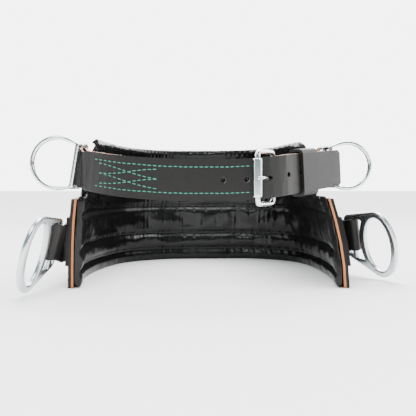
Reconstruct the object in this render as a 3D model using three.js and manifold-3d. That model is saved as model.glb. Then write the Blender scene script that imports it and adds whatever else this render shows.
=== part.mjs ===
// A four-D tree climbing saddle, buckled and standing on its lower edge.
//
// Units are millimetres. +X is the wearer's left hand side seen from the front, +Y points to the back
// of the saddle and +Z is up. The saddle is built about the middle of its waist opening and is then
// moved so that the origin is at the centre of its base.

import * as THREE from "three";
import { mergeVertices } from "three/addons/utils/BufferGeometryUtils.js";
import Module from "manifold-3d";

const wasm = await Module();
wasm.setup();

// ---------------------------------------------------------------------------------------------
// Driving dimensions

const STRAP_WIDTH = 44.45; // 1 3/4 inch harness leather
const HOLE_PITCH = 25.4;
const HOLE_RADIUS = 3;
const BILLET_THICKNESS = 4;
const PLY = 3.2; // one ply of the folded straps and tabs
const GAP = 0.4; // between pieces that touch

const PAD_HEIGHT = 175;
const PAD_END_THICKNESS = 10.5;
const PAD_BACK_THICKNESS = 16;
const PAD_EDGE_ROUND = 3;

const LINER_THICKNESS = 2.6;
const COVER_THICKNESS = 3.2;
const BAND_HEIGHT = 104;
const DEE_BAND_THICKNESS = 3.2;
const DEE_BAND_LOW = 25;
const DEE_BAND_HIGH = 82;
const DEE_STRAP_CENTRE = 51;
const WAIST_STRAP_CENTRE = 140;

const WIRE_RADIUS = 3; // upper Ds and buckle frame
const DEE_PLATE_THICKNESS = 6.5;

const WRAP_STEPS = 44; // facets round the wearer
const LEVEL_STEP = 26; // facets up the pad

// ---------------------------------------------------------------------------------------------
// Solids

const UP = new THREE.Vector3(0, 0, 1);
const vec = (x, y, z = 0) => new THREE.Vector3(x, y, z);
const radians = THREE.MathUtils.degToRad;
const lerp = THREE.MathUtils.lerp;
const range = (count) => Array.from({ length: count }, (_, i) => i);

function geometryFrom(triangles) {
  const positions = triangles.flatMap((corner) => [corner.x, corner.y, corner.z]);
  const geometry = new THREE.BufferGeometry();
  geometry.setAttribute("position", new THREE.Float32BufferAttribute(positions, 3));
  return mergeVertices(geometry, 1e-4);
}

function signedVolume(triangles) {
  let volume = 0;
  for (let i = 0; i < triangles.length; i += 3) {
    volume += triangles[i].dot(vec(0, 0).crossVectors(triangles[i + 1], triangles[i + 2]));
  }
  return volume;
}

function facingOut(triangles) {
  return signedVolume(triangles) < 0 ? triangles.slice().reverse() : triangles;
}

// Two triangles for the quad a, b, c, d.
const quad = (a, b, c, d) => [a, b, c, a, c, d];

// A closed slab between two grids of points, inner[i][j] and outer[i][j].
function slab(inner, outer) {
  const triangles = [];
  const rows = inner.length - 1;
  const columns = inner[0].length - 1;
  for (let i = 0; i < rows; i++) {
    for (let j = 0; j < columns; j++) {
      triangles.push(...quad(inner[i][j], inner[i][j + 1], inner[i + 1][j + 1], inner[i + 1][j]));
      triangles.push(...quad(outer[i][j], outer[i + 1][j], outer[i + 1][j + 1], outer[i][j + 1]));
    }
    triangles.push(...quad(inner[i][0], inner[i + 1][0], outer[i + 1][0], outer[i][0]));
    triangles.push(
      ...quad(inner[i][columns], outer[i][columns], outer[i + 1][columns], inner[i + 1][columns]),
    );
  }
  for (let j = 0; j < columns; j++) {
    triangles.push(...quad(inner[0][j], outer[0][j], outer[0][j + 1], inner[0][j + 1]));
    triangles.push(...quad(inner[rows][j], inner[rows][j + 1], outer[rows][j + 1], outer[rows][j]));
  }
  return geometryFrom(facingOut(triangles));
}

// A flat strap through frames of { at, across, out, width, thickness }: across runs along its width
// and out along its thickness.
function strap(frames) {
  const edge = (frame, side, face) =>
    frame.at
      .clone()
      .addScaledVector(frame.across, (side * frame.width) / 2)
      .addScaledVector(frame.out, (face * frame.thickness) / 2);
  const grid = (face) => frames.map((frame) => [edge(frame, -1, face), edge(frame, 1, face)]);
  return slab(grid(-1), grid(1));
}

// A round rod along points. A closed rod joins its last point to its first.
function rod(points, radius, { sides = 8, closed = false, normal = UP } = {}) {
  const count = points.length;
  const tangentAt = (i) => {
    const before = closed ? points[(i + count - 1) % count] : points[Math.max(i - 1, 0)];
    const after = closed ? points[(i + 1) % count] : points[Math.min(i + 1, count - 1)];
    return after.clone().sub(before).normalize();
  };
  const rings = points.map((point, i) => {
    const tangent = tangentAt(i);
    const side = vec(0, 0).crossVectors(normal, tangent).normalize();
    const lift = vec(0, 0).crossVectors(tangent, side);
    return range(sides).map((k) => {
      const angle = ((k + 0.5) / sides) * 2 * Math.PI;
      return point
        .clone()
        .addScaledVector(side, radius * Math.cos(angle))
        .addScaledVector(lift, radius * Math.sin(angle));
    });
  });
  const triangles = [];
  const spans = closed ? count : count - 1;
  for (let i = 0; i < spans; i++) {
    const here = rings[i];
    const next = rings[(i + 1) % count];
    for (let k = 0; k < sides; k++) {
      const l = (k + 1) % sides;
      triangles.push(...quad(here[k], here[l], next[l], next[k]));
    }
  }
  if (!closed) {
    for (let k = 1; k < sides - 1; k++) {
      triangles.push(rings[0][0], rings[0][k + 1], rings[0][k]);
      const last = rings[count - 1];
      triangles.push(last[0], last[k], last[k + 1]);
    }
  }
  return geometryFrom(facingOut(triangles));
}

function solidOf(geometry) {
  const bare = geometry.clone();
  bare.deleteAttribute("normal");
  bare.deleteAttribute("uv");
  const merged = mergeVertices(bare, 1e-4);
  return new wasm.Manifold(
    new wasm.Mesh({
      numProp: 3,
      vertProperties: merged.attributes.position.array,
      triVerts: new Uint32Array(merged.index.array),
    }),
  );
}

function geometryOf(solid) {
  const mesh = solid.getMesh();
  const geometry = new THREE.BufferGeometry();
  geometry.setAttribute("position", new THREE.Float32BufferAttribute(mesh.vertProperties, 3));
  geometry.setIndex(new THREE.Uint32BufferAttribute(mesh.triVerts, 1));
  return geometry;
}

const joined = (geometries) => geometryOf(geometries.map(solidOf).reduce((a, b) => a.add(b)));
const cut = (geometry, tools) =>
  geometryOf(tools.map(solidOf).reduce((a, b) => a.subtract(b), solidOf(geometry)));

const LEATHER_ROUGHNESS = 0.55;
const STEEL = { color: 0xb9c4c6, roughness: 0.28, metalness: 1 };
const leather = (color, roughness = LEATHER_ROUGHNESS) => ({ color, roughness, metalness: 0 });

function piece(name, geometry, look) {
  const mesh = new THREE.Mesh(geometry, new THREE.MeshStandardMaterial(look));
  mesh.name = name;
  mesh.geometry.computeVertexNormals();
  return mesh;
}

// ---------------------------------------------------------------------------------------------
// The wall that the pad's inner face follows: a plan curve at the floor and one at the top edge,
// from the left end round the back to the right end.

const FLOOR_LINE = new THREE.CatmullRomCurve3([
  vec(-147, -104), vec(-157, -35), vec(-150, 35), vec(-125, 100), vec(-70, 137), vec(5, 145),
  vec(80, 142), vec(130, 108), vec(150, 50), vec(156, -20), vec(149, -104),
]);
const TOP_LINE = new THREE.CatmullRomCurve3([
  vec(-126, -104), vec(-124, -35), vec(-117, 35), vec(-98, 100), vec(-58, 142), vec(0, 147),
  vec(52, 132), vec(82, 85), vec(95, 30), vec(103, -15), vec(111, -58),
]);
const LEAN_POWER_LEFT = 3.2; // the wall stays upright for longest at its left end
const LEAN_POWER_RIGHT = 1.8;
const TOP_SHIFT = 0.045; // keeps the two lines in step, because the top one stops short on the right

function wallPoint(along, height) {
  const power = lerp(LEAN_POWER_LEFT, LEAN_POWER_RIGHT, along);
  const lean = Math.min(Math.max(height / PAD_HEIGHT, 0), 1) ** power;
  const topAlong = Math.min(along + TOP_SHIFT * Math.sin(Math.PI * along), 1);
  const point = FLOOR_LINE.getPointAt(along).lerp(TOP_LINE.getPointAt(topAlong), lean);
  point.z = height;
  return point;
}

function wallOut(along, height) {
  const step = 0.004;
  const before = wallPoint(Math.max(along - step, 0), height);
  const after = wallPoint(Math.min(along + step, 1), height);
  return vec(0, 0).crossVectors(UP, after.sub(before)).normalize();
}

// A point at a depth outwards from the pad's inner face, measured level.
const wallAt = (along, height, depth) =>
  wallPoint(along, height).addScaledVector(wallOut(along, height), depth);

function padThickness(along) {
  const fromEnd = Math.min(along, 1 - along);
  const swell = THREE.MathUtils.smoothstep(fromEnd, 0.15, 0.4);
  return lerp(PAD_END_THICKNESS, PAD_BACK_THICKNESS, swell);
}

// Stations between two values that keep to a shared grid, so that nested layers stay parallel.
function stations(from, to, step) {
  const inside = range(Math.ceil((to - from) / step) + 2)
    .map((i) => (Math.floor(from / step) + i) * step)
    .filter((value) => value > from + step / 4 && value < to - step / 4);
  return [from, ...inside, to];
}

// A ply on the outside of the pad, between two depths beyond the pad's outer face.
function wallPly({ from = 0, to = 1, low, high, near, far }) {
  const alongs = stations(from, to, 1 / WRAP_STEPS);
  const heights = stations(low, high, LEVEL_STEP);
  const grid = (depth) =>
    alongs.map((along) => heights.map((z) => wallAt(along, z, padThickness(along) + depth)));
  return slab(grid(near), grid(far));
}

const LINER_NEAR = GAP;
const LINER_FAR = LINER_NEAR + LINER_THICKNESS;
const COVER_FAR = LINER_FAR + GAP + COVER_THICKNESS;
const DEE_BAND_FAR = COVER_FAR + GAP + DEE_BAND_THICKNESS;
const DEE_STRAP_FAR = DEE_BAND_FAR + GAP + PLY;

// ---------------------------------------------------------------------------------------------
// The pad and the band round it

function padCushion() {
  const alongs = stations(0, 1, 1 / WRAP_STEPS);
  const middles = stations(PAD_EDGE_ROUND * 2, PAD_HEIGHT - PAD_EDGE_ROUND * 2, LEVEL_STEP);
  const heights = [0, ...middles, PAD_HEIGHT];
  const grid = (face) =>
    alongs.map((along) =>
      heights.map((z) => {
        const atEdge = z === 0 || z === PAD_HEIGHT;
        const depth = face * padThickness(along) + (atEdge ? PAD_EDGE_ROUND * (1 - 2 * face) : 0);
        return wallAt(along, z, depth);
      }),
    );
  return piece("pad_cushion", cut(slab(grid(0), grid(1)), padReliefs()), leather(0x15130f, 0.35));
}

// The upper corners of the pad give way to the folds of the belt at each upper D.
const RELIEF_HEIGHT = 62;
const RELIEF_ABOVE_BAND = 3;
const LEFT_FOLD_RELIEF = { width: 24, depth: 60, x: -144, y: -112 };
const RIGHT_FOLD_RELIEF = { width: 30, depth: 60, x: 146, y: -56 };
const BELT_RELIEF = { width: 160, depth: 48, reach: 70, inset: BILLET_THICKNESS + 2 * PLY - 16 };

function reliefBlock({ width, depth, x, y, turn = 0 }) {
  return new THREE.BoxGeometry(width, depth, RELIEF_HEIGHT)
    .rotateZ(turn)
    .translate(x, y, BAND_HEIGHT + RELIEF_ABOVE_BAND + RELIEF_HEIGHT / 2);
}

function padReliefs() {
  const { x, y } = onStraight(BELT_RELIEF.reach, BELT_RELIEF.inset);
  const belt = reliefBlock({ ...BELT_RELIEF, x, y, turn: STRAIGHT_ANGLE });
  return [reliefBlock(LEFT_FOLD_RELIEF), belt, reliefBlock(RIGHT_FOLD_RELIEF)];
}

function band() {
  const liner = { low: 0, high: BAND_HEIGHT, near: LINER_NEAR, far: LINER_FAR };
  const cover = { low: 0, high: BAND_HEIGHT, near: LINER_FAR + GAP, far: COVER_FAR };
  const deeBand = {
    from: 0.006,
    to: 0.996,
    low: DEE_BAND_LOW,
    high: DEE_BAND_HIGH,
    near: COVER_FAR + GAP,
    far: DEE_BAND_FAR,
  };
  return [
    piece("band_liner", wallPly(liner), leather(0xb8683c, 0.8)),
    piece("band_cover", wallPly(cover), leather(0x2e2c2a)),
    piece("dee_band", wallPly(deeBand), leather(0x33302d)),
  ];
}

// ---------------------------------------------------------------------------------------------
// Lower Ds: flat forged plates, each in a folded leather tab that leaves the strap round the back

const RING = { halfWidth: 29, halfHeight: 44.5, holeHalfWidth: 20, holeHalfHeight: 36 };
const ARM_ANGLE = radians(101); // where the arms leave the ring as tangents
const HEEL = { x: -54, halfHeight: 29.2, corner: 6 };
const TAB_BAR = { x: -40, halfWidth: 3.25 };
const ARM_WIDTH = 6;
const PLATE_BEVEL = 1.2;
const TAB_TOE = 66.3; // from the ring's centre to the line where the tab flexes
const FLEX_CLEARANCE = 2.5; // each side of the flex line
const FOLD_CLEARANCE = 0.9; // between the plate and the fold round its tab bar
const NIP = PLY / 2 + GAP / 2; // from the middle of the closed tab to the middle of a ply
const PLATE_RISE = 5.5; // the plate hangs a little above the strap's middle
const TAB_LIFT = 5; // of the tab's middle above the plate's, at the tab bar
const HEEL_LIFT = -1; // and at the heel

// Where each tab leaves the band (along the wall), and how its plate lies: yaw outwards from
// straight ahead, droop below level and lean of the top edge inwards.
const LOWER_DEES = [
  { side: "left", sign: -1, along: 0.02, yaw: 11.5, droop: 9, lean: 17 },
  { side: "right", sign: 1, along: 0.868, yaw: 33, droop: 9, lean: 18 },
];

function ellipseArc(halfWidth, halfHeight, from, to, steps) {
  return range(steps + 1).map((i) => {
    const angle = lerp(from, to, i / steps);
    return new THREE.Vector2(halfWidth * Math.cos(angle), halfHeight * Math.sin(angle));
  });
}

// Half the plate's height at a place on its arms.
function armHeight(x) {
  const tangentX = RING.halfWidth * Math.cos(ARM_ANGLE);
  const tangentY = RING.halfHeight * Math.sin(ARM_ANGLE);
  return lerp(HEEL.halfHeight, tangentY, (x - HEEL.x) / (tangentX - HEEL.x));
}

function deePlate() {
  const bow = ellipseArc(RING.halfWidth, RING.halfHeight, -ARM_ANGLE, ARM_ANGLE, 33);
  const heel = [
    [HEEL.x + HEEL.corner, armHeight(HEEL.x + HEEL.corner)],
    [HEEL.x + HEEL.corner / 4, armHeight(HEEL.x) - HEEL.corner / 4],
    [HEEL.x, armHeight(HEEL.x) - HEEL.corner],
  ].map(([x, y]) => new THREE.Vector2(x, y));
  const heelBelow = heel.map((point) => new THREE.Vector2(point.x, -point.y)).reverse();
  const shape = new THREE.Shape([...bow, ...heel, ...heelBelow]);

  const hole = ellipseArc(RING.holeHalfWidth, RING.holeHalfHeight, 0, 2 * Math.PI, 32).slice(0, -1);
  shape.holes.push(new THREE.Path(hole.reverse()));

  const farSide = TAB_BAR.x + TAB_BAR.halfWidth;
  const slotTop = armHeight(farSide) - ARM_WIDTH;
  const slotAngle = Math.PI - Math.asin((slotTop - 1) / RING.halfHeight);
  const ringSide = ellipseArc(RING.halfWidth + 0.6, RING.halfHeight, slotAngle, 2 * Math.PI - slotAngle, 8);
  const ringSlot = [new THREE.Vector2(farSide, slotTop), ...ringSide, new THREE.Vector2(farSide, -slotTop)];
  shape.holes.push(new THREE.Path(ringSlot));

  const nearSide = TAB_BAR.x - TAB_BAR.halfWidth;
  const heelSide = HEEL.x + ARM_WIDTH;
  const heelSlot = [
    [nearSide, armHeight(nearSide) - ARM_WIDTH],
    [heelSide, armHeight(heelSide) - ARM_WIDTH],
    [heelSide, ARM_WIDTH - armHeight(heelSide)],
    [nearSide, ARM_WIDTH - armHeight(nearSide)],
  ].map(([x, y]) => new THREE.Vector2(x, y));
  shape.holes.push(new THREE.Path(heelSlot));

  const geometry = new THREE.ExtrudeGeometry(shape, {
    depth: DEE_PLATE_THICKNESS - 2 * PLATE_BEVEL,
    bevelEnabled: true,
    bevelThickness: PLATE_BEVEL,
    bevelSize: PLATE_BEVEL,
    bevelOffset: -PLATE_BEVEL,
    bevelSegments: 1,
  });
  geometry.translate(0, 0, PLATE_BEVEL - DEE_PLATE_THICKNESS / 2);
  return geometry;
}

// The plate's own directions: out along its axis, up along its ring, and its flat face.
function plateDirections({ sign, yaw, droop, lean }) {
  const level = vec(sign * Math.sin(radians(yaw)), -Math.cos(radians(yaw)));
  const out = level.clone().multiplyScalar(Math.cos(radians(droop)));
  out.z = -Math.sin(radians(droop));
  const face = vec(0, 0).crossVectors(out, UP).normalize();
  face.applyAxisAngle(out, sign * radians(lean));
  const up = vec(0, 0).crossVectors(face, out).normalize();
  return { out, up, face };
}

function lowerDee(dee) {
  const flexAt = wallAt(dee.along, DEE_STRAP_CENTRE, padThickness(dee.along) + DEE_STRAP_FAR + 1.4);
  const { out, up, face } = plateDirections(dee);
  const centre = flexAt.clone().addScaledVector(out, TAB_TOE);
  centre.z += PLATE_RISE;

  const plate = piece(`lower_dee_${dee.side}`, deePlate(), STEEL);
  plate.geometry.applyMatrix4(new THREE.Matrix4().makeBasis(out, up, face).setPosition(centre));

  // The tab starts at the flex line, passes one side of the plate, folds round the tab bar and
  // comes back on the other side. It rises towards the plate and bears on the top of its slot.
  const onPlate = (x, lift, offset) => ({
    at: centre.clone().addScaledVector(out, x).addScaledVector(up, lift).addScaledVector(face, offset),
    across: up.clone(),
  });
  const barCentre = onPlate(TAB_BAR.x, TAB_LIFT, 0).at;
  const clear = DEE_PLATE_THICKNESS / 2 + FOLD_CLEARANCE + PLY / 2;
  const foldSteps = 6;
  const plyPlaces = (side) => [
    { at: flexAt.clone().addScaledVector(out, FLEX_CLEARANCE).addScaledVector(face, side * NIP), across: UP.clone() },
    onPlate(HEEL.x - 1, HEEL_LIFT, side * clear),
    onPlate(TAB_BAR.x, TAB_LIFT, side * clear),
  ];
  const fold = range(foldSteps - 1).map((i) => {
    const angle = ((i + 1) / foldSteps) * Math.PI;
    const at = barCentre
      .clone()
      .addScaledVector(face, clear * Math.cos(angle))
      .addScaledVector(out, clear * Math.sin(angle));
    return { at, across: up.clone() };
  });
  const places = [...plyPlaces(1), ...fold, ...plyPlaces(-1).reverse()];
  const frames = strapFrames(places, STRAP_WIDTH - 0.5, PLY);
  const tab = piece(`dee_tab_${dee.side}`, strap(frames), leather(0x2b2826));

  const group = new THREE.Group();
  group.name = `lower_dee_${dee.side}_swing`;
  group.userData = { pivot: flexAt, axis: UP.clone(), ring: { centre, out, face } };
  group.add(plate, tab);
  return group;
}


// Gives each place along a strap its outward direction, width and thickness.
function strapFrames(places, width, thickness) {
  return places.map((place, i) => {
    const before = places[Math.max(i - 1, 0)].at;
    const after = places[Math.min(i + 1, places.length - 1)].at;
    const tangent = after.clone().sub(before).normalize();
    const out = vec(0, 0).crossVectors(place.across, tangent).normalize();
    return { at: place.at, across: place.across, out, width: place.width ?? width, thickness };
  });
}

// The strap that joins the two tabs round the back, on the outside of the band.
function deeStrap() {
  const [left, right] = LOWER_DEES;
  const end = FLEX_CLEARANCE / FLOOR_LINE.getLength();
  const geometry = wallPly({
    from: left.along + end,
    to: right.along - end,
    low: DEE_STRAP_CENTRE - STRAP_WIDTH / 2,
    high: DEE_STRAP_CENTRE + STRAP_WIDTH / 2,
    near: DEE_BAND_FAR + GAP,
    far: DEE_STRAP_FAR,
  });
  return piece("dee_strap", geometry, leather(0x2b2826));
}

// ---------------------------------------------------------------------------------------------
// Upper Ds: round wire, a bow on its own straight bar, and two arms that run back from the bar's
// ends to a bar for the front strap and a bar for the waist strap

const BOW_RADIUS = 28.5;
const BOW_CENTRE = 19; // from the bow's bar
const BAR_HALF = 24.3;
const STRAP_BAR = 12.5; // along the arms
const WAIST_BAR = 27;
const FOLD_WIDTH = 40.6; // straps are trimmed where they fold round a bar

const UPPER_DEES = {
  left: { bar: vec(-150, -133.5, 142.6), out: vec(-1, 0), roll: 9, arms: vec(0.17, 0.98) },
  right: { bar: vec(154.5, -61.4, 143.5), out: vec(1, 0), roll: 3, arms: vec(-0.42, 0.9) },
};

function deeDirections(dee) {
  const sideways = Math.sign(dee.out.x);
  const out = dee.out.clone().applyAxisAngle(vec(0, 1), -sideways * radians(dee.roll));
  const up = UP.clone().applyAxisAngle(vec(0, 1), -sideways * radians(dee.roll));
  return { out, up, back: dee.arms.clone().normalize() };
}

function barAt(dee, reach) {
  const { back } = deeDirections(dee);
  return dee.bar.clone().addScaledVector(back, reach);
}

function upperDee(side) {
  const dee = UPPER_DEES[side];
  const { out, up, back } = deeDirections(dee);
  const on = (x, z, reach = 0) =>
    dee.bar.clone().addScaledVector(out, x).addScaledVector(up, z).addScaledVector(back, reach);

  const corner = Math.hypot(BOW_CENTRE, BAR_HALF);
  const tangentAngle = Math.PI - Math.atan2(BAR_HALF, BOW_CENTRE) - Math.acos(BOW_RADIUS / corner);
  const bowSteps = 23;
  const bow = range(bowSteps + 1).map((i) => {
    const angle = lerp(-tangentAngle, tangentAngle, i / bowSteps);
    return on(BOW_CENTRE + BOW_RADIUS * Math.cos(angle), BOW_RADIUS * Math.sin(angle));
  });
  const face = vec(0, 0).crossVectors(out, up);
  const loop = rod([...bow, on(0, BAR_HALF), on(0, -BAR_HALF)], WIRE_RADIUS, { closed: true, normal: face });

  const bend = 5;
  const armPath = [-1, 1].map((end) => [
    on(1.5, end * BAR_HALF, 1),
    on(0, end * BAR_HALF, WAIST_BAR - bend),
    on(0, end * (BAR_HALF - bend * 0.3), WAIST_BAR - bend * 0.3),
    on(0, end * (BAR_HALF - bend), WAIST_BAR),
  ]);
  const sideOn = vec(0, 0).crossVectors(back, up);
  const frame = rod([...armPath[0], ...armPath[1].reverse()], WIRE_RADIUS, { normal: sideOn });
  const strapBar = rod([on(0, -BAR_HALF, STRAP_BAR), on(0, BAR_HALF, STRAP_BAR)], WIRE_RADIUS, { normal: back });
  return piece(`upper_dee_${side}`, joined([loop, frame, strapBar]), STEEL);
}

// ---------------------------------------------------------------------------------------------
// Straps that fold round a bar

// Places round a bar from angle to angle, turning about the bar's own axis.
function foldPlaces(centre, axis, start, turn, radius, steps) {
  return range(steps + 1).map((i) => {
    const arm = start.clone().applyAxisAngle(axis, (turn * i) / steps);
    return { at: centre.clone().addScaledVector(arm, radius), across: axis.clone(), width: FOLD_WIDTH };
  });
}

const foldRadius = (thickness) => WIRE_RADIUS + GAP + thickness / 2;

// ---------------------------------------------------------------------------------------------
// The front of the belt

// The billet's middle line, left D to tip: a shallow bow across the front, then a straight run.
const TURN = vec(83, -150);
const STRAIGHT_ANGLE = radians(47.5);
const STRAIGHT = vec(Math.cos(STRAIGHT_ANGLE), Math.sin(STRAIGHT_ANGLE));
const STRAIGHT_OUT = vec(STRAIGHT.y, -STRAIGHT.x);
const TIP_REACH = 119;
const TIP_CORNER = 5;

const onStraight = (reach, inwards = 0) =>
  TURN.clone().addScaledVector(STRAIGHT, reach).addScaledVector(STRAIGHT_OUT, -inwards);

// The belt's middle height rises towards both Ds.
const BELT_HEIGHT = new THREE.CatmullRomCurve3([
  vec(-150, 0, 139), vec(-90, 0, 130), vec(-20, 0, 126), vec(50, 0, 127.5), vec(105, 0, 134.5), vec(170, 0, 142.5),
]);
function beltHeight(x) {
  let [low, high] = [0, 1];
  for (let i = 0; i < 24; i++) {
    const middle = (low + high) / 2;
    [low, high] = BELT_HEIGHT.getPoint(middle).x < x ? [middle, high] : [low, middle];
  }
  return BELT_HEIGHT.getPoint(low).z;
}

const FRONT_LINE = new THREE.CatmullRomCurve3([
  vec(-142, -127.5), vec(-131, -138), vec(-100, -157), vec(-72, -165), vec(-20, -165), vec(30, -163.5), vec(52, -163),
  vec(68, -159.5), TURN.clone(), onStraight(12), onStraight(60), onStraight(TIP_REACH),
]);
const FRONT_LENGTH = FRONT_LINE.getLength();

// Across a strap: upright, but square to the strap's own line where that rises.
function beltPlace(point) {
  return { at: vec(point.x, point.y, beltHeight(point.x)) };
}

function beltPlaces(points) {
  const places = points.map(beltPlace);
  return places.map(({ at }, i) => {
    const tangent = places[Math.min(i + 1, places.length - 1)].at
      .clone()
      .sub(places[Math.max(i - 1, 0)].at)
      .normalize();
    return { at, across: UP.clone().addScaledVector(tangent, -UP.dot(tangent)).normalize() };
  });
}

const FRONT_STEPS = 34;
const RETURN_LENGTH = 84; // the stitched ply behind the billet
const frontPoint = (distance) => FRONT_LINE.getPointAt(Math.min(distance / FRONT_LENGTH, 1));

function billetShape() {
  const { up, back } = deeDirections(UPPER_DEES.left);
  const bar = barAt(UPPER_DEES.left, STRAP_BAR);
  const outer = beltPlaces(range(FRONT_STEPS + 1).map((i) => frontPoint((FRONT_LENGTH * i) / FRONT_STEPS)));
  const last = outer.length - 1;
  const tipFrames = [
    { ...outer[last], at: outer[last].at.clone().addScaledVector(STRAIGHT, -TIP_CORNER), width: STRAP_WIDTH },
    { ...outer[last], width: STRAP_WIDTH - 1.4 * TIP_CORNER },
  ];
  const inwards = BILLET_THICKNESS + GAP;
  const inner = beltPlaces(
    range(7).map((i) => {
      const distance = (RETURN_LENGTH * (i + 0.6)) / 6.6;
      const here = frontPoint(distance);
      const tangent = frontPoint(distance + 1).sub(frontPoint(distance - 1)).normalize();
      return here.addScaledVector(vec(tangent.y, -tangent.x), -inwards);
    }),
  ).reverse();
  const radius = foldRadius(BILLET_THICKNESS);
  const start = back.clone().applyAxisAngle(UP, radians(-62));
  const fold = foldPlaces(bar, up, start, radians(238), radius, 9);
  const trim = (place) => ({ ...place, width: FOLD_WIDTH });
  const places = [
    ...inner.slice(0, -1),
    trim(inner[inner.length - 1]),
    ...fold,
    trim(outer[0]),
    ...outer.slice(1, -1),
    ...tipFrames,
  ];
  return strap(strapFrames(places, STRAP_WIDTH, BILLET_THICKNESS));
}

// A round pin along a direction, for cutting holes and for rivets.
function pin(centre, direction, radius, length, sides = 10) {
  const half = direction.clone().normalize().multiplyScalar(length / 2);
  const normal = Math.abs(half.z) > length / 4 ? vec(1, 0) : UP;
  return rod([centre.clone().sub(half), centre.clone().add(half)], radius, { sides, normal });
}

// ---------------------------------------------------------------------------------------------
// Roller buckle: the heel bar sits in the buckle strap's fold, the roller in front of the billet

const ROLLER_CENTRE = vec(52.3, -171);
const HEEL_CENTRE = vec(71.5, -145);
const FRAME_HALF = 28; // the frame's side bars, from its middle
const FRAME_CORNER = 4.5;
const ROLLER_RADIUS = 5;
const ROLLER_LENGTH = 42;
const PRONG_RADIUS = 2.1;
const PRONG_EYE_RADIUS = 1.7;
const CREW_SLOT = 6.5; // the slot in the fold that the prong works in
const CREW_SLOT_REACH = 9;
const PRONG_LIFT = 4; // degrees it can lift inside its hole
const FRAME_LIFT = 3;

const buckleHeight = beltHeight(60);
const heelBar = vec(HEEL_CENTRE.x, HEEL_CENTRE.y, buckleHeight);
const rollerBar = vec(ROLLER_CENTRE.x, ROLLER_CENTRE.y, buckleHeight);

function buckleFrame() {
  const along = rollerBar.clone().sub(heelBar);
  const length = along.length();
  along.normalize();
  const cornerAt = (reach, z, turnReach, turnZ) =>
    range(4).map((i) => {
      const angle = (i / 3) * (Math.PI / 2);
      const reachShift = FRAME_CORNER * (1 - Math.sin(angle)) * turnReach;
      const heightShift = FRAME_CORNER * (1 - Math.cos(angle)) * turnZ;
      return heelBar.clone().addScaledVector(along, reach + reachShift).addScaledVector(UP, z + heightShift);
    });
  const corners = [
    cornerAt(0, FRAME_HALF, 1, -1).reverse(),
    cornerAt(length, FRAME_HALF, -1, -1),
    cornerAt(length, -FRAME_HALF, -1, 1).reverse(),
    cornerAt(0, -FRAME_HALF, 1, 1),
  ];
  const face = vec(0, 0).crossVectors(along, UP);
  return piece("buckle_frame", rod(corners.flat(), WIRE_RADIUS, { closed: true, normal: face }), STEEL);
}

function buckleRoller() {
  const profile = [
    [WIRE_RADIUS + 0.3, -1], [ROLLER_RADIUS - 0.5, -1], [ROLLER_RADIUS, -0.96],
    [ROLLER_RADIUS, 0.96], [ROLLER_RADIUS - 0.5, 1], [WIRE_RADIUS + 0.3, 1], [WIRE_RADIUS + 0.3, -1],
  ].map(([radius, end]) => new THREE.Vector2(radius, (end * ROLLER_LENGTH) / 2));
  const geometry = new THREE.LatheGeometry(profile, 16);
  geometry.rotateX(Math.PI / 2).translate(rollerBar.x, rollerBar.y, rollerBar.z);
  return piece("buckle_roller", geometry, STEEL);
}

function prongPath() {
  return [
    vec(68.9, -149.6), vec(60.6, -171.2), vec(58.2, -176.2), vec(54.2, -178.5), vec(52.0, -178.6),
  ].map((point) => point.setZ(buckleHeight));
}

function buckleProng() {
  const eyeCentre = WIRE_RADIUS + GAP + PRONG_EYE_RADIUS;
  const eye = range(14).map((i) => {
    const angle = (i / 14) * 2 * Math.PI;
    return heelBar.clone().add(vec(eyeCentre * Math.cos(angle), eyeCentre * Math.sin(angle)));
  });
  const ring = rod(eye, PRONG_EYE_RADIUS, { closed: true, normal: UP });
  return piece("buckle_prong", joined([ring, rod(prongPath(), PRONG_RADIUS)]), STEEL);
}

// The room that the prong sweeps when it and the frame lift.
function prongRoom(clearance, eyeRoom) {
  const total = PRONG_LIFT + FRAME_LIFT;
  return range(4).map((i) => {
    const angle = radians(lerp(-0.5, total + 0.5, i / 3));
    const path = prongPath().map((point) => point.sub(heelBar).applyAxisAngle(UP, angle).add(heelBar));
    return rod(eyeRoom ? [heelBar, ...path] : path, PRONG_RADIUS + clearance);
  });
}

// Punched holes run along the billet on both sides of the one in use.
function billet() {
  const inUse = 66.5; // X of the hole that holds the prong
  let distance = 0;
  while (frontPoint(distance).x < inUse) distance += 0.5;
  const holes = range(6)
    .map((i) => i - 2)
    .filter((i) => i !== 0)
    .map((i) => distance + i * HOLE_PITCH)
    .filter((reach) => reach < FRONT_LENGTH - HOLE_PITCH / 4)
    .map((reach) => {
      const centre = beltPlace(frontPoint(reach)).at;
      const tangent = frontPoint(reach + 1).sub(frontPoint(reach - 1)).normalize();
      return pin(centre, vec(tangent.y, -tangent.x), HOLE_RADIUS, 2 * BILLET_THICKNESS);
    });
  return piece("billet", cut(billetShape(), [...holes, ...prongRoom(GAP, false)]), leather(0x35302c));
}

// ---------------------------------------------------------------------------------------------
// Buckle strap: one strap folded round the heel bar and round the right D's strap bar

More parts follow.
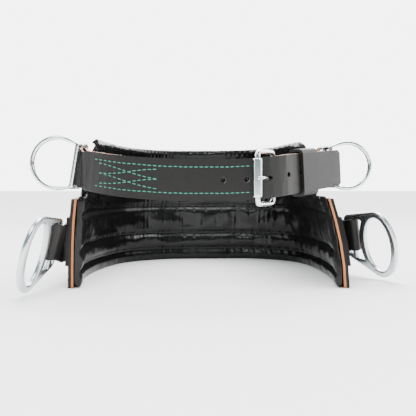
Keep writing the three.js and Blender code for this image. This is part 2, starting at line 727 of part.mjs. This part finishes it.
function buckleStrap() {
  const dee = UPPER_DEES.right;
  const bar = barAt(dee, STRAP_BAR);
  const radius = foldRadius(PLY);
  const inset = BILLET_THICKNESS / 2 + GAP + PLY / 2;
  const pitch = PLY + GAP;
  const straightReach = 74;
  const line = (ply) => {
    const run = [8, 24, 42, 58, straightReach].map((reach) => onStraight(reach, inset + ply * pitch));
    return beltPlaces(run);
  };
  const towardDee = bar.clone().setZ(0).sub(onStraight(straightReach, inset + pitch / 2)).normalize();
  const deeSide = vec(towardDee.y, -towardDee.x);
  const heelTurn = foldPlaces(heelBar, UP, STRAIGHT_OUT, radians(-220), radius, 9);
  const { up } = deeDirections(dee);
  const deeTurn = foldPlaces(bar, up, deeSide.clone().negate(), radians(-180), radius, 8);
  const places = [
    ...line(0).slice(2),
    ...deeTurn.reverse(),
    ...line(1).reverse(),
    ...heelTurn.reverse(),
    ...line(0).slice(0, 2),
  ];
  const lap = strapFrames(places, STRAP_WIDTH, PLY);
  const slot = pin(heelBar, UP, CREW_SLOT_REACH, CREW_SLOT);
  return piece("buckle_strap", cut(strap(lap), [slot, ...prongRoom(GAP, true)]), leather(0x2b2826));
}

// ---------------------------------------------------------------------------------------------
// Keeper loop: slides along the billet and the buckle strap

const KEEPER = { reach: 45, width: 30, wall: 3.2 };

function keeperLoop() {
  const outerFace = BILLET_THICKNESS / 2 + GAP + 0.4;
  const innerFace = BILLET_THICKNESS / 2 + 3 * GAP + 2 * PLY + 0.6;
  const halfHeight = STRAP_WIDTH / 2 + 1.6;
  const height = beltHeight(onStraight(KEEPER.reach).x);
  const rise = beltHeight(onStraight(KEEPER.reach + 1).x) - height;
  const axis = STRAIGHT.clone().setZ(rise).normalize();
  const across = UP.clone().addScaledVector(axis, -UP.dot(axis)).normalize();
  const corner = 3;
  const section = (grow) => {
    const [out, inn, top] = [outerFace + grow, innerFace + grow, halfHeight + grow];
    const round = corner + grow * 0.6;
    return [
      [out, top - round], [out - round * 0.3, top - round * 0.3], [out - round, top],
      [round - inn, top], [round * 0.3 - inn, top - round * 0.3], [-inn, top - round],
      [-inn, round - top], [round * 0.3 - inn, round * 0.3 - top], [round - inn, -top],
      [out - round, -top], [out - round * 0.3, round * 0.3 - top], [out, round - top],
    ];
  };
  const ring = (grow, reach) =>
    section(grow).map(([out, up]) =>
      onStraight(0)
        .setZ(height)
        .addScaledVector(STRAIGHT, KEEPER.reach)
        .addScaledVector(axis, reach)
        .addScaledVector(STRAIGHT_OUT, out)
        .addScaledVector(across, up),
    );
  const half = KEEPER.width / 2;
  const rings = [ring(0, -half), ring(KEEPER.wall, -half), ring(KEEPER.wall, half), ring(0, half)];
  const triangles = [];
  for (let i = 0; i < 4; i++) {
    const [here, next] = [rings[i], rings[(i + 1) % 4]];
    for (let k = 0; k < here.length; k++) {
      const l = (k + 1) % here.length;
      triangles.push(...quad(here[k], here[l], next[l], next[k]));
    }
  }
  const mesh = piece("keeper_loop", geometryFrom(facingOut(triangles)), leather(0x3a3633));
  mesh.userData = { pivot: onStraight(KEEPER.reach).setZ(height), axis };
  return mesh;
}

// ---------------------------------------------------------------------------------------------
// Waist strap round the back, folded on the waist bar of each upper D, in loops on the pad

const WAIST_FROM = 0.046;
const WAIST_TO = 0.893;
const WAIST_STEPS = 34;
const WAIST_FOLD_WIDTH = 38;
const WAIST_STANDOFF = 5;
const WAIST_FOLD_SLACK = 0.3;
const WAIST_RETURN = 0.08; // length folded back, as a share of the way round
const WAIST_LOOPS = [0.25, 0.47, 0.69];

function waistFrameAt(along, depth) {
  const half = STRAP_WIDTH / 2;
  const bottom = wallAt(along, WAIST_STRAP_CENTRE - half, padThickness(along) + depth);
  const top = wallAt(along, WAIST_STRAP_CENTRE + half, padThickness(along) + depth);
  return { at: bottom.clone().lerp(top, 0.5), across: top.sub(bottom).normalize() };
}

function waistStrap() {
  const depth = WAIST_STANDOFF + PLY / 2;
  const run = range(WAIST_STEPS + 1).map((i) => waistFrameAt(lerp(WAIST_FROM, WAIST_TO, i / WAIST_STEPS), depth));
  for (const end of [run[0], run[WAIST_STEPS]]) {
    end.width = WAIST_FOLD_WIDTH;
    end.at.z += 2;
  }
  const returnPly = (from, to) =>
    range(4).map((i) => waistFrameAt(lerp(from, to, i / 3), depth + PLY + GAP));
  const turn = (side, sign) => {
    const dee = UPPER_DEES[side];
    const { up } = deeDirections(dee);
    const bar = barAt(dee, WAIST_BAR);
    const strapEnd = side === "left" ? run[0].at : run[WAIST_STEPS].at;
    const away = bar.clone().sub(strapEnd).setZ(0).normalize();
    const inner = vec(away.y, -away.x).multiplyScalar(-sign);
    return foldPlaces(bar, up, inner, sign * radians(-180), foldRadius(PLY) + WAIST_FOLD_SLACK, 8).map((place) => ({
      ...place,
      width: WAIST_FOLD_WIDTH,
    }));
  };
  const left = turn("left", -1);
  const right = turn("right", 1);
  right.reverse();
  // The ends are folded round the bars and sewn back to the strap, so the three lengths are one piece.
  const lengths = [
    [...returnPly(WAIST_FROM, WAIST_FROM + WAIST_RETURN).reverse(), ...left],
    [left[left.length - 1], ...run, right[0]],
    [...right, ...returnPly(WAIST_TO, WAIST_TO - WAIST_RETURN)],
  ];
  const plies = lengths.map((places) => strap(strapFrames(places, STRAP_WIDTH, PLY)));
  return piece("waist_strap", joined(plies), leather(0x2b2826));
}

// A flat loop over the waist strap, its ends on the pad.
function waistLoop(along, index) {
  const halfWidth = 0.018;
  const low = WAIST_STRAP_CENTRE - STRAP_WIDTH / 2;
  const high = WAIST_STRAP_CENTRE + STRAP_WIDTH / 2;
  const over = WAIST_STANDOFF + PLY + 3 * GAP;
  const bridge = [
    [low - 9, 0.5], [low - 2.5, 0.5], [low - 2.5, over], [high + 2.5, over], [high + 2.5, 0.5], [high + 9, 0.5],
  ];
  const foot = 2;
  const grid = (extra) =>
    [along - halfWidth, along, along + halfWidth].map((place) =>
      bridge.map(([z, depth], k) => {
        const outwards = k === 1 || k === 2 ? -extra : k === 3 || k === 4 ? extra : 0;
        return wallAt(place, z + outwards, padThickness(place) + depth + extra);
      }),
    );
  return piece(`waist_loop_${index + 1}`, slab(grid(0), grid(foot)), leather(0x2b2826));
}

// ---------------------------------------------------------------------------------------------
// Assembly

function hinged(name, pivot, axis, meshes) {
  const group = new THREE.Group();
  group.name = name;
  group.userData = { pivot, axis };
  group.add(...meshes);
  return group;
}

const saddle = new THREE.Group();
saddle.add(padCushion(), ...band(), deeStrap(), waistStrap(), ...WAIST_LOOPS.map(waistLoop));
saddle.add(billet(), buckleStrap(), keeperLoop());
saddle.add(upperDee("left"), upperDee("right"), ...LOWER_DEES.map(lowerDee));
const roller = hinged("roller", rollerBar, UP, [buckleRoller()]);
const prong = hinged("prong", heelBar, UP, [buckleProng()]);
const frame = hinged("frame", heelBar, UP, [buckleFrame()]);
frame.add(roller, prong);
saddle.add(frame);

const bounds = new THREE.Box3().setFromObject(saddle);
const middle = bounds.getCenter(vec(0, 0));
saddle.position.set(-middle.x, -middle.y, -bounds.min.z);

export default saddle;
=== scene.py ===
import math

import bmesh
import bpy
import numpy as np
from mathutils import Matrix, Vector
from mathutils.bvhtree import BVHTree


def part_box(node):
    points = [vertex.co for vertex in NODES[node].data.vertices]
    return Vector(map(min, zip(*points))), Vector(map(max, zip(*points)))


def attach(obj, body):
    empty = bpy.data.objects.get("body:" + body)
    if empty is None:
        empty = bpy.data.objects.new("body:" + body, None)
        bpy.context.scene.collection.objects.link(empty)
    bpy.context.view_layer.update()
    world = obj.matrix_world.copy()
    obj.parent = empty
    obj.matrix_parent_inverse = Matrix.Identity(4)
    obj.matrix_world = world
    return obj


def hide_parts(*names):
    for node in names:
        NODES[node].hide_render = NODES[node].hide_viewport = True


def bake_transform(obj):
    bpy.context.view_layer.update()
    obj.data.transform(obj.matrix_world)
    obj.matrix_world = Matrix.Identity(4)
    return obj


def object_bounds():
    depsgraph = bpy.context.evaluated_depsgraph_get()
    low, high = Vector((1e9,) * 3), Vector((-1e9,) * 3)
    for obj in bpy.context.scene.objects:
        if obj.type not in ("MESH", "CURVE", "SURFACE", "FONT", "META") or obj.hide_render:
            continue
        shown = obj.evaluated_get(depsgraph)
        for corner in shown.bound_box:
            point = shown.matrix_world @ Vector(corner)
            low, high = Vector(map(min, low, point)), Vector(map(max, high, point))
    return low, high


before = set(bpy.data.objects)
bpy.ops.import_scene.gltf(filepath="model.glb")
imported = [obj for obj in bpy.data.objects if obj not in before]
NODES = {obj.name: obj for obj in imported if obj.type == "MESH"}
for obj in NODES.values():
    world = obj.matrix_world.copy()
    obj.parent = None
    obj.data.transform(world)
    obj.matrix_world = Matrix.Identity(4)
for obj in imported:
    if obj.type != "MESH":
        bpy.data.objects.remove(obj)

FIRST_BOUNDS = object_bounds()
MM = 0.001

# Camera: level, at the height of the belt, in front of the buckle.
CAMERA_PLACE = (-14.6 * MM, -754.9 * MM, 124 * MM)
CAMERA_LENS = 48.46
CAMERA_SHIFT_Y = -0.0625

# Pad: sewn across in rows, stuffed between them and gathered at the two bends of the back.
PAD_VOXEL = 4 * MM
PAD_SEAMS = [17 * MM, 42 * MM, 85 * MM, 135 * MM, 160 * MM]
SEAM_HALF_WIDTH = 4 * MM
SEAM_DEPTH = 2.6 * MM
PAD_PRESSURE = 4.0
PAD_FRAMES = 20
PAD_MOST = 4.5 * MM
PAD_RELAX = 3
GATHER_PITCH = 6 * MM
GATHER_DEPTH = 1.5 * MM
CHANNEL_DEPTH = 3.5 * MM
CHANNEL_HALF_WIDTH = 9 * MM
GATHER_EVERYWHERE = 0.15
GATHER_SLANT = 0.35
GATHER_FINE_SHARE = 0.6
GATHER_COARSE_PITCH = 1.7 * GATHER_PITCH
GATHER_STARTS_Y = 20 * MM
GATHER_FULL_BY = 60 * MM
GATHER_OFF_SEAM = 0.45
GATHER_BENDS = [(-75 * MM, 45 * MM), (60 * MM, 55 * MM)]

# Studio
ROOM_COLOR = (0.26, 0.33, 0.34)
BACKDROP_COLOR = (6.0, 6.0, 6.0)

# Thread on the belt
STITCH_PITCH = 5.5 * MM
STITCH_LENGTH = 4.2 * MM
STITCH_RADIUS = 0.55 * MM
ROW_FROM_EDGE = 8 * MM
ROWS_FROM_X = -140 * MM
ROWS_TO_X = 34 * MM
BAND_ROW_FROM_EDGE = 5 * MM
BAND_ROW_STEPS = 200
LATTICE_FROM_X = -136 * MM
LATTICE_TO_X = -64 * MM
SECOND_ROW_IN = 3.5 * MM
IN_FRONT_Y = -400 * MM
BELT_LOOK_LOW = 80 * MM
BELT_LOOK_HIGH = 176 * MM


# ---------------------------------------------------------------------------------------------
# Materials

SHEEN = 0.3


def base_material(name, color, roughness, metallic=0.0):
    material = bpy.data.materials.new(name)
    material.use_nodes = True
    shader = material.node_tree.nodes["Principled BSDF"]
    shader.inputs["Base Color"].default_value = (*color, 1)
    shader.inputs["Roughness"].default_value = roughness
    shader.inputs["Metallic"].default_value = metallic
    shader.inputs["Specular IOR Level"].default_value = SHEEN
    return material, material.node_tree, shader


def add_bump(tree, shader, scale, strength, distance, detail=6.0):
    place = tree.nodes.new("ShaderNodeTexCoord")
    noise = tree.nodes.new("ShaderNodeTexNoise")
    noise.inputs["Scale"].default_value = scale
    noise.inputs["Detail"].default_value = detail
    bump = tree.nodes.new("ShaderNodeBump")
    bump.inputs["Strength"].default_value = strength
    bump.inputs["Distance"].default_value = distance
    tree.links.new(place.outputs["Object"], noise.inputs["Vector"])
    tree.links.new(noise.outputs["Fac"], bump.inputs["Height"])
    tree.links.new(bump.outputs["Normal"], shader.inputs["Normal"])


def leather(name, color, roughness, grain=900.0, strength=0.35):
    material, tree, shader = base_material(name, color, roughness)
    add_bump(tree, shader, grain, strength, 0.0004)
    return material


def edged_leather(name, color, edge_color, roughness):
    """Leather whose upward cut edge shows its undyed inside."""
    material, tree, shader = base_material(name, color, roughness)
    add_bump(tree, shader, 700.0, 0.3, 0.0004)
    geometry = tree.nodes.new("ShaderNodeNewGeometry")
    split = tree.nodes.new("ShaderNodeSeparateXYZ")
    ramp = tree.nodes.new("ShaderNodeMapRange")
    ramp.inputs["From Min"].default_value = 0.55
    ramp.inputs["From Max"].default_value = 0.8
    mix = tree.nodes.new("ShaderNodeMix")
    mix.data_type = "RGBA"
    mix.inputs[6].default_value = (*color, 1)
    mix.inputs[7].default_value = (*edge_color, 1)
    tree.links.new(geometry.outputs["True Normal"], split.inputs["Vector"])
    tree.links.new(split.outputs["Z"], ramp.inputs["Value"])
    tree.links.new(ramp.outputs["Result"], mix.inputs[0])
    tree.links.new(mix.outputs[2], shader.inputs["Base Color"])
    return material


def metal(name, color, roughness, grain, strength):
    material, tree, shader = base_material(name, color, roughness, metallic=1.0)
    add_bump(tree, shader, grain, strength, 0.0003, detail=3.0)
    return material


PAD_LEATHER = leather("pad leather", (0.004, 0.004, 0.004), 0.27, grain=420.0, strength=0.3)
BELT_LEATHER = edged_leather("belt leather", (0.008, 0.007, 0.0065), (0.5, 0.27, 0.17), 0.42)
STRAP_LEATHER = leather("strap leather", (0.007, 0.0065, 0.006), 0.44)
RAW_LEATHER = leather("raw leather", (0.5, 0.19, 0.08), 0.75)
BRIGHT_STEEL = metal("bright steel", (0.72, 0.77, 0.78), 0.14, 60.0, 0.04)
FORGED_STEEL = metal("forged steel", (0.62, 0.67, 0.69), 0.27, 240.0, 0.14)
GREEN_THREAD = leather("green thread", (0.05, 0.26, 0.19), 0.6, grain=3000.0)
RUST_THREAD = leather("rust thread", (0.5, 0.16, 0.09), 0.6, grain=3000.0)


# ---------------------------------------------------------------------------------------------
# Shared helpers

def finish_mesh(thing, material, body="saddle"):
    thing.data.materials.clear()
    thing.data.materials.append(material)
    for polygon in thing.data.polygons:
        polygon.use_smooth = True
    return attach(thing, body) if body else thing


def copy_of(node, name):
    copy = bpy.data.objects.new(name, NODES[node].data.copy())
    bpy.context.scene.collection.objects.link(copy)
    return copy


def only(thing):
    bpy.ops.object.select_all(action="DESELECT")
    thing.select_set(True)
    bpy.context.view_layer.objects.active = thing


def remesh(thing, size):
    only(thing)
    thing.data.remesh_voxel_size = size
    bpy.ops.object.voxel_remesh()


def places(thing):
    flat = np.empty(len(thing.data.vertices) * 3)
    thing.data.vertices.foreach_get("co", flat)
    return flat.reshape(-1, 3)


def normals(thing):
    flat = np.empty(len(thing.data.vertices) * 3)
    thing.data.vertex_normals.foreach_get("vector", flat)
    return flat.reshape(-1, 3)


def set_places(thing, points):
    thing.data.vertices.foreach_set("co", points.ravel())
    thing.data.update()


def tree_of(thing):
    mesh = bmesh.new()
    mesh.from_mesh(thing.data)
    tree = BVHTree.FromBMesh(mesh)
    mesh.free()
    return tree


# ---------------------------------------------------------------------------------------------
# The pad

def inward(points):
    """Unit directions from each point towards the wearer, level."""
    low, high = FIRST_BOUNDS
    middle = np.array([0.0, (low.y + high.y) / 2 - 30 * MM, 0.0])
    way = middle - points
    way[:, 2] = 0
    return way / np.maximum(np.linalg.norm(way, axis=1, keepdims=True), 1e-6)


def near_seam(points):
    """1 on a sewn row, falling to 0 beside it."""
    away = np.min([np.abs(points[:, 2] - seam) for seam in PAD_SEAMS], axis=0)
    return np.clip(1 - away / SEAM_HALF_WIDTH, 0, 1)


def stuff(pad, fixed):
    """Fills the pad by simulation: the sewn rows and the outer side are held and the rest swells."""
    group = pad.vertex_groups.new(name="held")
    for index, weight in enumerate(fixed):
        group.add([index], float(weight), "REPLACE")
    start = places(pad)
    cloth = pad.modifiers.new("cloth", "CLOTH")
    settings = cloth.settings
    settings.quality = 5
    settings.mass = 0.3
    settings.tension_stiffness = 15
    settings.compression_stiffness = 15
    settings.bending_stiffness = 4
    settings.shrink_min = -0.012
    settings.use_pressure = True
    settings.uniform_pressure_force = PAD_PRESSURE
    settings.vertex_group_mass = "held"
    settings.effector_weights.gravity = 0
    cloth.collision_settings.use_collision = False
    cloth.point_cache.frame_start = 1
    cloth.point_cache.frame_end = PAD_FRAMES
    scene = bpy.context.scene
    for number in range(1, PAD_FRAMES + 1):
        scene.frame_set(number)
    shape = pad.evaluated_get(bpy.context.evaluated_depsgraph_get())
    flat = np.empty(len(shape.data.vertices) * 3)
    shape.data.vertices.foreach_get("co", flat)
    pad.modifiers.clear()
    scene.frame_set(1)
    moved = flat.reshape(-1, 3) - start
    length = np.linalg.norm(moved, axis=1, keepdims=True)
    capped = moved * np.minimum(1, PAD_MOST / np.maximum(length, 1e-9))
    set_places(pad, start + capped)


def gather(pad):
    """Fine upright wrinkles, deepest at the two bends of the back and on the sewn rows."""
    points = places(pad)
    facing = np.clip((normals(pad) * inward(points)).sum(axis=1), 0, 1)
    along = points[:, 0] + GATHER_SLANT * points[:, 1]
    wander = 0.5 * np.sin(points[:, 2] / (31 * MM)) + 1.9 * np.sin(along / (17 * MM))
    wave = GATHER_FINE_SHARE * np.sin(math.tau * along / GATHER_PITCH + wander)
    coarse = np.sin(math.tau * along / GATHER_COARSE_PITCH - 1.6 * wander)
    wave += (1 - GATHER_FINE_SHARE) * coarse
    strength = np.full(len(points), GATHER_EVERYWHERE)
    for middle, half in GATHER_BENDS:
        strength += np.exp(-(((points[:, 0] - middle) / half) ** 2))
    behind = np.clip((points[:, 1] - GATHER_STARTS_Y) / GATHER_FULL_BY, 0, 1)
    on_seam = GATHER_OFF_SEAM + (1 - GATHER_OFF_SEAM) * near_seam(points)
    depth = GATHER_DEPTH * strength * behind * facing * on_seam
    set_places(pad, points + normals(pad) * (wave * depth)[:, None])


def press_channels(pad):
    """Draws the sewn rows in after the stuffing, as rounded channels between the padded rolls."""
    points = places(pad)
    facing = np.clip((normals(pad) * inward(points)).sum(axis=1), 0, 1)
    away = np.min([np.abs(points[:, 2] - seam) for seam in PAD_SEAMS], axis=0)
    depth = CHANNEL_DEPTH * np.exp(-((2 * away / CHANNEL_HALF_WIDTH) ** 2)) * facing
    set_places(pad, points - inward(points) * depth[:, None])


def make_pad():
    pad = copy_of("pad_cushion", "pad")
    remesh(pad, PAD_VOXEL)
    points = places(pad)
    facing = (normals(pad) * inward(points)).sum(axis=1) > 0.3
    seam = near_seam(points) * facing
    set_places(pad, points - inward(points) * (seam * SEAM_DEPTH)[:, None])
    stuff(pad, np.where(facing, np.where(seam > 0.35, 1.0, 0.0), 1.0))
    only(pad)
    relax = pad.modifiers.new("relax", "SMOOTH")
    relax.factor = 0.5
    relax.iterations = PAD_RELAX
    bpy.ops.object.modifier_apply(modifier=relax.name)
    smooth = pad.modifiers.new("smooth", "SUBSURF")
    smooth.levels = 1
    smooth.render_levels = 1
    bpy.ops.object.modifier_apply(modifier=smooth.name)
    press_channels(pad)
    gather(pad)
    finish_mesh(pad, PAD_LEATHER)
    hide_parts("pad_cushion")


# ---------------------------------------------------------------------------------------------
# Leather and metal that keep their CAD shape, with edges softened

def smooth_group():
    """A geometry group that shades a piece smooth without changing its mesh."""
    group = bpy.data.node_groups.new("smooth shading", "GeometryNodeTree")
    group.interface.new_socket("Geometry", in_out="INPUT", socket_type="NodeSocketGeometry")
    group.interface.new_socket("Geometry", in_out="OUTPUT", socket_type="NodeSocketGeometry")
    start = group.nodes.new("NodeGroupInput")
    shade = group.nodes.new("GeometryNodeSetShadeSmooth")
    end = group.nodes.new("NodeGroupOutput")
    group.links.new(start.outputs[0], shade.inputs["Geometry"])
    group.links.new(shade.outputs[0], end.inputs[0])
    return group


SMOOTH_SHADING = smooth_group()


def soften(node, material, width=0.7 * MM):
    thing = NODES[node]
    bevel = thing.modifiers.new("edges", "BEVEL")
    bevel.width = width
    bevel.segments = 2
    bevel.limit_method = "ANGLE"
    bevel.angle_limit = math.radians(50)
    shade = thing.modifiers.new("shade", "NODES")
    shade.node_group = SMOOTH_SHADING
    split = thing.modifiers.new("corners", "EDGE_SPLIT")
    split.split_angle = math.radians(38)
    thing.data.materials.clear()
    thing.data.materials.append(material)


def forge(node, material, voxel, rounds):
    """Rounds a metal piece all over, as casting, forging or bending wire leaves it."""
    thing = NODES[node]
    grid = thing.modifiers.new("grid", "REMESH")
    grid.mode = "VOXEL"
    grid.voxel_size = voxel
    grid.use_smooth_shade = True
    relax = thing.modifiers.new("relax", "SMOOTH")
    relax.factor = 0.5
    relax.iterations = rounds
    thing.data.materials.clear()
    thing.data.materials.append(material)


# ---------------------------------------------------------------------------------------------
# Thread

def stitch(mesh, start, end, normal):
    """One stitch: a short six-sided bar, pulled into the leather at both ends."""
    along = (end - start).normalized()
    side = along.cross(normal).normalized()
    rings = []
    for part, size, lift in ((0, 0.45, -0.4), (0.25, 1, 0.5), (0.75, 1, 0.5), (1, 0.45, -0.4)):
        centre = start.lerp(end, part) + normal * (lift * STITCH_RADIUS)
        angles = [math.tau * k / 6 for k in range(6)]
        reach = STITCH_RADIUS * size
        ring = [centre + (side * math.cos(a) + normal * math.sin(a)) * reach for a in angles]
        rings.append([mesh.verts.new(point) for point in ring])
    for first, second in zip(rings, rings[1:]):
        for k in range(6):
            mesh.faces.new((first[k], first[(k + 1) % 6], second[(k + 1) % 6], second[k]))
    mesh.faces.new(rings[0][::-1])
    mesh.faces.new(rings[-1])


def sew(name, surface, lines, material):
    """Stitches along lines of (start, way) rays that are dropped on to a surface."""
    tree = tree_of(surface)
    mesh = bmesh.new()
    for line in lines:
        hits = [tree.ray_cast(Vector(start), Vector(way)) for start, way in line]
        hits = [(place, normal) for place, normal, *_ in hits if place is not None]
        for (first, normal), (second, _) in zip(hits, hits[1:]):
            gap = (second - first).length
            if not 0.5 * STITCH_PITCH < gap < 1.8 * STITCH_PITCH:
                continue
            trim = (second - first) * (0.5 * (1 - min(1, STITCH_LENGTH / gap)))
            stitch(mesh, first + trim, second - trim, normal)
    data = bpy.data.meshes.new(name)
    bmesh.ops.recalc_face_normals(mesh, faces=mesh.faces)
    mesh.to_mesh(data)
    mesh.free()
    thing = bpy.data.objects.new(name, data)
    bpy.context.scene.collection.objects.link(thing)
    return finish_mesh(thing, material)


def belt_edges():
    """The belt's lower and upper edge heights against x, found by looking at it from the front."""
    tree = tree_of(NODES["billet"])
    xs = np.arange(ROWS_FROM_X, ROWS_TO_X, 2 * MM)
    lows, highs = [], []
    for x in xs:
        looks = np.arange(BELT_LOOK_LOW, BELT_LOOK_HIGH, 0.5 * MM)
        heights = [z for z in looks if front_hit(tree, x, z)]
        lows.append(min(heights))
        highs.append(max(heights))
    return xs, np.array(lows), np.array(highs)


def front_hit(tree, x, z):
    return tree.ray_cast(Vector((x, IN_FRONT_Y, z)), Vector((0, 1, 0)))[0] is not None


def front_line(points):
    return [((x, IN_FRONT_Y, z), (0, 1, 0)) for x, z in points]


def sew_belt():
    xs, lows, highs = belt_edges()

    def low(x):
        return float(np.interp(x, xs, lows))

    def high(x):
        return float(np.interp(x, xs, highs))

    def middle(x):
        return (low(x) + high(x)) / 2

    steps = np.arange(ROWS_FROM_X, ROWS_TO_X, STITCH_PITCH)
    lattice = [x for x in steps if LATTICE_FROM_X <= x <= LATTICE_TO_X]
    span = LATTICE_TO_X - LATTICE_FROM_X

    def across(begin, end):
        """A diagonal that leaves one height and eases into another."""
        line = []
        for x in lattice:
            part = (x - LATTICE_FROM_X) / span
            eased = part * part * (3 - 2 * part)
            line.append((x, begin(x) * (1 - eased) + end(x) * eased))
        return line

    def top(x):
        return high(x) - ROW_FROM_EDGE

    def bottom(x):
        return low(x) + ROW_FROM_EDGE

    def inner_top(x):
        return top(x) - SECOND_ROW_IN

    def inner_bottom(x):
        return bottom(x) + SECOND_ROW_IN

    rows = [[(x, top(x)) for x in steps], [(x, bottom(x)) for x in steps]]
    rows += [across(inner_top, middle), across(middle, inner_top)]
    rows += [across(middle, inner_bottom), across(inner_bottom, middle)]
    lines = [front_line(row) for row in rows]
    sew("belt_thread", NODES["billet"], lines, GREEN_THREAD)


def sew_band():
    """Rust thread in two rows round the outside of the band that carries the lower Ds."""
    low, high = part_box("dee_band")
    heights = [low[2] + BAND_ROW_FROM_EDGE, high[2] - BAND_ROW_FROM_EDGE]
    turns = [math.tau * k / BAND_ROW_STEPS for k in range(BAND_ROW_STEPS)]
    lines = []
    for height in heights:
        line = []
        for turn in turns:
            way = Vector((math.cos(turn), math.sin(turn), 0))
            line.append((way * 0.5 + Vector((0, 0, height)), -way))
        lines.append(line)
    sew("band_thread", NODES["dee_band"], lines, RUST_THREAD)


# ---------------------------------------------------------------------------------------------
# Tabs for the lower Ds: remeshed copies, not attached to the saddle body

def make_tab(side):
    node = f"dee_tab_{side}"
    tab = copy_of(node, f"tab_{side}")
    remesh(tab, 1.2 * MM)
    finish_mesh(tab, STRAP_LEATHER, body=None)
    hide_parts(node)
    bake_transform(tab)


# ---------------------------------------------------------------------------------------------
# Studio

def add_light(name, place, target, size, power):
    data = bpy.data.lights.new(name, "AREA")
    data.size = size
    data.energy = power
    light = bpy.data.objects.new(name, data)
    light.location = place
    light.rotation_euler = (Vector(target) - Vector(place)).to_track_quat("-Z", "Y").to_euler()
    bpy.context.scene.collection.objects.link(light)


def make_studio():
    bpy.ops.mesh.primitive_plane_add(size=14, location=(0, 0, -0.5 * MM))
    floor = bpy.context.active_object
    floor.name = "floor"
    material, _, _ = base_material("floor", (0.95, 0.95, 0.95), 0.9)
    floor.data.materials.append(material)
    make_world()
    add_light("key", (-0.5, -1.1, 1.1), (0, 0, 0.08), 0.5, 9)
    add_light("top", (0.2, 0.1, 1.3), (0, 0, 0.08), 0.9, 26)
    add_light("fill", (1.0, -0.9, 0.5), (0, 0, 0.08), 0.4, 4)


def make_world():
    """White behind the saddle, and a dim blue-green room in front for the metal to reflect."""
    world = bpy.data.worlds.new("studio")
    world.use_nodes = True
    tree = world.node_tree
    back = tree.nodes["Background"]
    place = tree.nodes.new("ShaderNodeTexCoord")
    split = tree.nodes.new("ShaderNodeSeparateXYZ")
    ramp = tree.nodes.new("ShaderNodeMapRange")
    ramp.inputs["From Min"].default_value = -0.35
    ramp.inputs["From Max"].default_value = 0.35
    mix = tree.nodes.new("ShaderNodeMix")
    mix.data_type = "RGBA"
    mix.inputs[6].default_value = (*ROOM_COLOR, 1)
    mix.inputs[7].default_value = (*BACKDROP_COLOR, 1)
    tree.links.new(place.outputs["Generated"], split.inputs["Vector"])
    tree.links.new(split.outputs["Y"], ramp.inputs["Value"])
    tree.links.new(ramp.outputs["Result"], mix.inputs[0])
    tree.links.new(mix.outputs[2], back.inputs["Color"])
    back.inputs["Strength"].default_value = 1.0
    bpy.context.scene.world = world


def make_camera():
    data = bpy.data.cameras.new("camera")
    data.lens = CAMERA_LENS
    data.shift_y = CAMERA_SHIFT_Y
    camera = bpy.data.objects.new("camera", data)
    camera.location = CAMERA_PLACE
    camera.rotation_euler = (math.radians(90), 0, 0)
    bpy.context.scene.collection.objects.link(camera)
    bpy.context.scene.camera = camera


# ---------------------------------------------------------------------------------------------

make_pad()
for node in ("billet", "waist_strap"):
    soften(node, BELT_LEATHER)
for node in ("buckle_strap", "keeper_loop", "band_cover", "dee_band", "dee_strap"):
    soften(node, STRAP_LEATHER)
for node in ("waist_loop_1", "waist_loop_2", "waist_loop_3"):
    soften(node, STRAP_LEATHER, width=0.4 * MM)
soften("band_liner", RAW_LEATHER)
for node in ("upper_dee_left", "upper_dee_right", "buckle_frame", "buckle_roller", "buckle_prong"):
    forge(node, BRIGHT_STEEL, 0.8 * MM, 8)
for node in ("lower_dee_left", "lower_dee_right"):
    forge(node, FORGED_STEEL, 0.9 * MM, 6)
for side in ("left", "right"):
    make_tab(side)
sew_belt()
sew_band()
make_studio()
make_camera()
